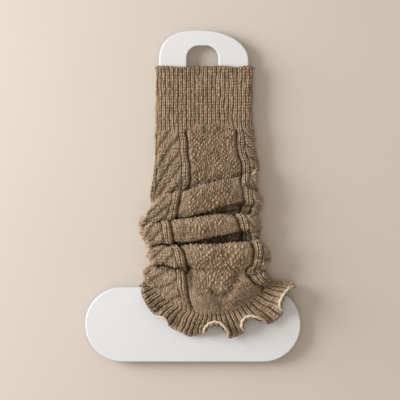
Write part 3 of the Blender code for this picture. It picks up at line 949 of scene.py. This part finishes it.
legRelief, legShade = legHeight(stitchAt, rowAt, mossStitch(mossAt, mossRow))
legShade = legShade + legSet["shadeSpread"] * softField(legSize, (6, 9), 33)
wideLumps, narrowLumps = softField(legSize, (22, 40), 5), softField(legSize, (7, 12), 6)
lumps = legSet["lumps"][0] * wideLumps + legSet["lumps"][1] * narrowLumps
ribEnd = ribHeight(stitches[None, :], legRow[:, None])
legRelief = (legRelief + lumps) * fadeTop + ribEnd[0] * (1.0 - fadeTop)
legShade = legShade * fadeTop + ribEnd[1] * (1.0 - fadeTop)
hemShares = sharesAt(len(legPlaces) - 1)
hemRibs, hemShade = frillRibs(hemShares[None, :] / 2.0 * frillSet["ribs"], legRow[:, None])
nearHem = smoothStep(legAt, legAt[-1] - frillSet["blend"], legAt[-1])[:, None]
legRelief = legRelief * (1.0 - nearHem) + (hemRibs * nearHem - 0.4 * nearHem) * nearHem
legShade = legShade * (1.0 - nearHem) + hemShade * nearHem
foldStart, foldEnd = (legPlaces[ring] for ring in legSet["firstFoldRings"])
openFold = legSet["firstFold"] + (1.0 - legSet["firstFold"]) * smoothStep(legAt, foldStart, foldEnd)[:, None]
# painted shade in the folds and in the creases
legFoldShade = np.maximum(foldShade(legGrid) * openFold, creaseShade)
print("leg rows", len(legRow), "length", round(float(legAt[-1]), 1))
cuts = [0] + [int(np.searchsorted(legAt, legPlaces[ring])) for ring in legSet["cutRings"]] + [len(legRow) - 1]
legPieces = []
for name, first, last in zip(("legBody", "legRolls", "legHem"), cuts, cuts[1:]):
    rows = slice(first, last + 1)
    fields = [field[rows] for field in (legGrid, legNormals, legRelief, legShade, legFoldShade)]
    legPieces.append(knitPiece(name, *fields, stitches, legRow[rows], shapeSet["wall"], wool))


# the rib band, from its top edge down to the leg

ribSet = {
    "gap": 0.15,            # between the band and the leg
    "wander": 0.3,
    "wanderEnds": (88.0, 84.0),  # the stitches stray less from here down to here, to meet the leg's
    "edgeReach": 3.0,       # the top edge's unevenness dies away over this length
    "edgeWaves": 1.1,
    "edgeTeeth": 0.6,       # knit columns stand up past the purl ones
    "sideDroop": 3.0,       # the top edge is lower at the two sides
    "edgeSwell": 0.9,
    "lumps": 0.4,
    "shadeSpread": 0.18,
}
ribLength = shapeSet["ribTop"] - shapeSet["ribBottom"]
ribRows = int(round(ribLength / knitSet["rowPitch"] * knitSet["rowSamples"]))
ribY = np.linspace(shapeSet["ribTop"], shapeSet["ribBottom"] + ribSet["gap"], ribRows)
ribShares = sharesAt(0)
ribGrid = np.array([levelRing(ribShares, y) for y in ribY])
ribSize = ribGrid.shape[:2]
fromTop = np.exp(-(shapeSet["ribTop"] - ribY) / ribSet["edgeReach"])[:, None]
aboveLeg = (1.0 - smoothStep(ribY, *ribSet["wanderEnds"]))[:, None]
ribGrid[:, :, 0] += ribSet["wander"] * softField(ribSize, (14, 8), 23) * aboveLeg
ribGrid[:, :, 1] += ribSet["edgeWaves"] * fromTop * softField((4, len(stitches)), (1, 30), 24)[:1]
ribGrid[:, :, 1] -= ribSet["edgeTeeth"] * fromTop * np.cos(math.pi * (stitches + 1.0))[None, :]
ribGrid[:, :, 1] -= ribSet["sideDroop"] * fromTop * (1.0 - fromSide(ribShares)[None, :]) ** 2
ribNormals = surfaceNormals(ribGrid)
drawInSides(ribGrid, ribNormals, 1.0)
ribRow = (ribY - ribY[-1]) / -knitSet["rowPitch"]
ribWobble = knitSet["wobble"] * softField(ribSize, (16, 16), 34)
ribRelief, ribShade = ribHeight(stitches[None, :] + ribWobble, ribRow[:, None] + 0.8 * ribWobble)
ribShade = ribShade + ribSet["shadeSpread"] * softField(ribSize, (6, 9), 35)
ribRelief = ribRelief + ribSet["lumps"] * softField(ribSize, (14, 24), 8) + ribSet["edgeSwell"] * fromTop
ribPiece = knitPiece("ribBand", ribGrid, ribNormals, ribRelief, ribShade, 0.0 * ribRelief, stitches, ribRow,
                     shapeSet["wall"], wool)


# the frill, from just under the hem to its curled edge

frillStitch = np.arange(frillSet["ribs"] * frillSet["samples"]) / frillSet["samples"]
frillShares = frillStitch / frillSet["ribs"] * 2.0
hem = hemRing(frillShares)
fan = frillShape(frillShares, hem)
reach = np.linspace(frillSet["tucked"], 1.0, frillSet["rows"])
frillGrid = np.array([frillRing(hem, fan, share) for share in reach])
frillSize = frillGrid.shape[:2]
frillNormals = surfaceNormals(frillGrid)
frillRow = reach * frillSet["rowsLong"]
frillWobble = softField(frillSize, (12, 22), 36)
ribWaver = frillSet["waver"][0] * smoothStep(reach, 0.0, 0.5)[:, None] * frillWobble
rowWaver = frillSet["waver"][1] * frillWobble
ribs, frillShade = frillRibs(frillStitch[None, :] + ribWaver, frillRow[:, None] + rowWaver)
frillShade = frillShade + frillSet["shadeSpread"] * softField(frillSize, (6, 12), 37)
grow = ((0.6 + 0.6 * smoothStep(reach, 0.0, 0.4)) * (1.0 - 0.5 * smoothStep(reach, 0.85, 1.0)))[:, None]
frillRelief = grow * ribs + frillSet["lumps"] * softField(frillSize, (10, 16), 9)
frillPiece = knitPiece("frillSkirt", frillGrid, frillNormals, frillRelief, frillShade, 0.0 * frillRelief,
                       frillStitch, frillRow, frillSet["wall"], wool, fineInside=True)


edgeSet = {
    "sides": 10,
    "twist": 6.0,           # length of one turn of its two plies
    "plyDepth": 0.2,
    "stitch": 2.3,
    "clear": 0.3,           # gap between cord and frill
    "radius": 0.8,
    "curlRadius": 0.7,      # added where the edge curls up
    "curlTurns": (40.0, 75.0),  # degrees of turn over which it grows to its curled radius
    "paleTurns": (22.0, 55.0),  # and over which its painted shade lifts, from brown to pale
    "flatShade": 0.45,       # where it lies flat, painted shade makes it nearly as brown as the frill
}


def castOffEdge(name, path, normals, radius, pale, material):
    # a two-ply cord along the frill's edge, given painted shade where it lies flat, so palest where the edge
    # turns up
    around = np.roll(path, -1, axis=0) - np.roll(path, 1, axis=0)
    lengths = np.linalg.norm(np.roll(path, -1, axis=0) - path, axis=1)
    travelled = np.concatenate([[0.0], np.cumsum(lengths)[:-1]])
    turns = round(lengths.sum() / edgeSet["twist"])
    twist = 2.0 * math.pi * turns * travelled / lengths.sum()
    outward = np.cross(around, normals)
    outward = outward / np.linalg.norm(outward, axis=1, keepdims=True)
    radius = radius[:, None]
    middle = path + outward * (edgeSet["clear"] + radius)
    sides = edgeSet["sides"]
    corner = 2.0 * math.pi * np.arange(sides) / sides
    size = radius * (1.0 + edgeSet["plyDepth"] * np.cos(2.0 * corner[None, :] - twist[:, None]))
    aside = outward[:, None, :] * np.cos(corner)[None, :, None]
    over = normals[:, None, :] * np.sin(corner)[None, :, None]
    points = (middle[:, None, :] + (aside + over) * size[:, :, None]).reshape(-1, 3)
    points[:, 2] = pressFlat(points[:, 2])
    quads = ringQuads(len(path) + 1, sides)[2] % len(points)   # the last ring joins the first
    place = np.zeros((quads.size, 3))
    place[:, 0] = travelled[quads.ravel() // sides] / edgeSet["stitch"]
    # painted shade between the plies, and all along where the cord lies flat
    toneAndShade = (size / radius - 0.5) * 1.5 - 0.7 * (1.0 - pale[:, None])
    paintedShade = edgeSet["flatShade"] * np.repeat(1.0 - pale, sides)
    return finishPiece(name, points, quads, np.zeros((0, 3), int), place, toneAndShade, paintedShade, material)


curled = smoothStep(np.degrees(fan[2]), *edgeSet["curlTurns"])
# its painted shade lifts as the edge turns up
pale = smoothStep(np.degrees(fan[2]), *edgeSet["paleTurns"])
# flat, the cord runs along the cut edge; curled, on the face just before it, where it shows
below = frillGrid[-1] + frillNormals[-1] * (0.3 * frillRelief[-1] - frillSet["wall"] / 2.0)[:, None]
above = frillGrid[-5] + frillNormals[-5] * (0.15 * frillRelief[-5] + 1.6)[:, None]
rim = below + (above - below) * curled[:, None]
cordRadius = edgeSet["radius"] + edgeSet["curlRadius"] * curled
edgePiece = castOffEdge("castOffEdge", rim, frillNormals[-1], cordRadius, pale, cream)

for piece, node, real in (
    (ribPiece, "rib_band", "taupe_wool"),
    (frillPiece, "frill", "taupe_wool"),
    (edgePiece, "frill_edge", "cream_wool"),
):
    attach(piece, "root")
    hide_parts(node)
for piece in legPieces:
    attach(piece, "root")
    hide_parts("leg_tube")
for piece, first, last in zip(legPieces, cuts, cuts[1:]):
    length = float(legAt[last] - legAt[first]) * mm


floorSet = {
    "size": 4.0,
    "height": -0.0002,
    "low": (0.715, 0.655, 0.58),
    "high": (0.755, 0.695, 0.62),
    "grain": 500.0,
    "cloud": 5.0,
}


def floorMaterial():
    made, shader, wire = newMaterial("beigePaper", 0.95)
    place = wire.node("ShaderNodeTexCoord", {}, {}, "Object")
    grain = noiseOf(wire, place, floorSet["grain"], 3.0)
    cloud = noiseOf(wire, place, floorSet["cloud"], 2.0)
    share = cloud.between(0.2, 0.8) * 0.7 + grain * 0.3
    colour = mixColour(wire, share, rgba(floorSet["low"]), rgba(floorSet["high"]))
    made.node_tree.links.new(colour.socket, shader.inputs["Base Color"])
    return made


bpy.ops.mesh.primitive_plane_add(size=floorSet["size"], location=(0, 0, floorSet["height"]))
floor = bpy.context.object
floor.name = "paleSurface"
floor.data.materials.append(floorMaterial())


lightSet = {
    "place": (-1.6, 0.40, 0.60),    # a large soft light, low on the left
    "size": 1.2,
    "power": 44.0,
    "colour": (0.97, 1.0, 1.04),
    "roomColour": (1.0, 0.89, 0.78),
    "roomStrength": 0.50,
}
keyLight = bpy.data.lights.new("keyLight", "AREA")
keyLight.shape = "DISK"
keyLight.size = lightSet["size"]
keyLight.energy = lightSet["power"]
keyLight.color = lightSet["colour"]
keyHolder = bpy.data.objects.new("keyLight", keyLight)
bpy.context.scene.collection.objects.link(keyHolder)
keyHolder.location = lightSet["place"]
keyHolder.rotation_euler = (-Vector(lightSet["place"])).to_track_quat("-Z", "Y").to_euler()
world = bpy.data.worlds.new("room")
bpy.context.scene.world = world
world.use_nodes = True
world.node_tree.nodes["Background"].inputs["Color"].default_value = rgba(lightSet["roomColour"])
world.node_tree.nodes["Background"].inputs["Strength"].default_value = lightSet["roomStrength"]


cameraSet = {
    "lens": 100.0,
    "sensor": 36.0,
    "across": (0.0078, -0.0044),    # straight above this point
    "level": 0.012,                 # at this height the view is as wide as below
    "viewWidth": 0.444,
}
camera = bpy.data.cameras.new("camera")
camera.lens = cameraSet["lens"]
camera.sensor_width = cameraSet["sensor"]
cameraHolder = bpy.data.objects.new("camera", camera)
bpy.context.scene.collection.objects.link(cameraHolder)
away = cameraSet["level"] + cameraSet["viewWidth"] * cameraSet["lens"] / cameraSet["sensor"]
cameraHolder.location = (*cameraSet["across"], away)
bpy.context.scene.camera = cameraHolder
bpy.context.scene.view_settings.view_transform = "Standard"
print("surface, light and camera set")
